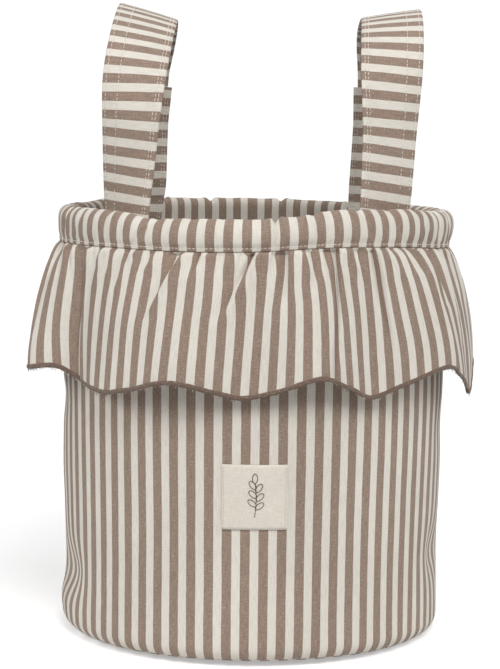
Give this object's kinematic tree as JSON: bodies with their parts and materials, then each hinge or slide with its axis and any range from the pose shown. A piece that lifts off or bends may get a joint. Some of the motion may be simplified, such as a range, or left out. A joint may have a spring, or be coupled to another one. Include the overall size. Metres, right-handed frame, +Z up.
{
  "type": "laundry bag",
  "caption": "Round padded fabric bag with a ruffle under the rim, a flat base and two strap loops that open with hook-and-loop tape to hang it from a rail.",
  "frame": {"origin": "centre of the flat base, on the surface that the bag stands on", "axes": "+Z up along the bag's axis; the front, with the label, faces -Y; +X to the right seen from the front"},
  "size_m": [0.3196, 0.3196, 0.4413],
  "materials": {
    "striped_cotton": "matt woven, printed stripes",
    "lining_cotton": "matt woven, printed stripes",
    "wadding": "soft matt",
    "overlock_thread": "matt fuzzy thread",
    "label_canvas": "matt natural canvas",
    "loop_tape": "matt brushed loops",
    "hook_tape": "matt moulded hooks"
  },
  "bodies": {
    "bag": {"outer_wall": "striped_cotton", "outer_base": "striped_cotton", "rim_band": "striped_cotton", "ruffle": "striped_cotton", "ruffle_hem": "overlock_thread", "label": "label_canvas", "wall_padding": "wadding", "base_padding": "wadding", "rim_filler": "wadding", "lining_wall": "lining_cotton", "lining_base": "lining_cotton", "right_front_foot": "striped_cotton", "right_back_foot": "striped_cotton", "left_front_foot": "striped_cotton", "left_back_foot": "striped_cotton"},
    "right_strap": {"right_long_strap": "striped_cotton", "right_loop_tape": "loop_tape"},
    "right_tail": {"right_strap_tail": "striped_cotton", "right_tail_loop_tape": "loop_tape"},
    "right_short": {"right_short_strap": "striped_cotton", "right_hook_tape": "hook_tape"},
    "left_strap": {"left_long_strap": "striped_cotton", "left_loop_tape": "loop_tape"},
    "left_tail": {"left_strap_tail": "striped_cotton", "left_tail_loop_tape": "loop_tape"},
    "left_short": {"left_short_strap": "striped_cotton", "left_hook_tape": "hook_tape"}
  },
  "joints": [
    {"name": "right_strap_swing", "type": "hinge", "parent": "bag", "child": "right_strap", "pos_m": [0.08836, -0.08836, 0.303], "axis": [0.7071, 0.7071, 0], "range_deg": [0, 85]},
    {"name": "right_tail_peel", "type": "hinge", "parent": "right_strap", "child": "right_tail", "pos_m": [0.08914, 0.00163, 0.4412], "axis": [1, 0, 0], "range_deg": [0, 100]},
    {"name": "right_short_strap_swing", "type": "hinge", "parent": "bag", "child": "right_short", "pos_m": [0.08667, 0.08667, 0.303], "axis": [0.7071, -0.7071, 0], "range_deg": [0, 150]},
    {"name": "left_strap_swing", "type": "hinge", "parent": "bag", "child": "left_strap", "pos_m": [-0.08836, -0.08836, 0.303], "axis": [0.7071, -0.7071, 0], "range_deg": [0, 85]},
    {"name": "left_tail_peel", "type": "hinge", "parent": "left_strap", "child": "left_tail", "pos_m": [-0.08914, 0.00163, 0.4412], "axis": [1, 0, 0], "range_deg": [0, 100]},
    {"name": "left_short_strap_swing", "type": "hinge", "parent": "bag", "child": "left_short", "pos_m": [-0.08667, 0.08667, 0.303], "axis": [0.7071, 0.7071, 0], "range_deg": [0, 150]}
  ]
}
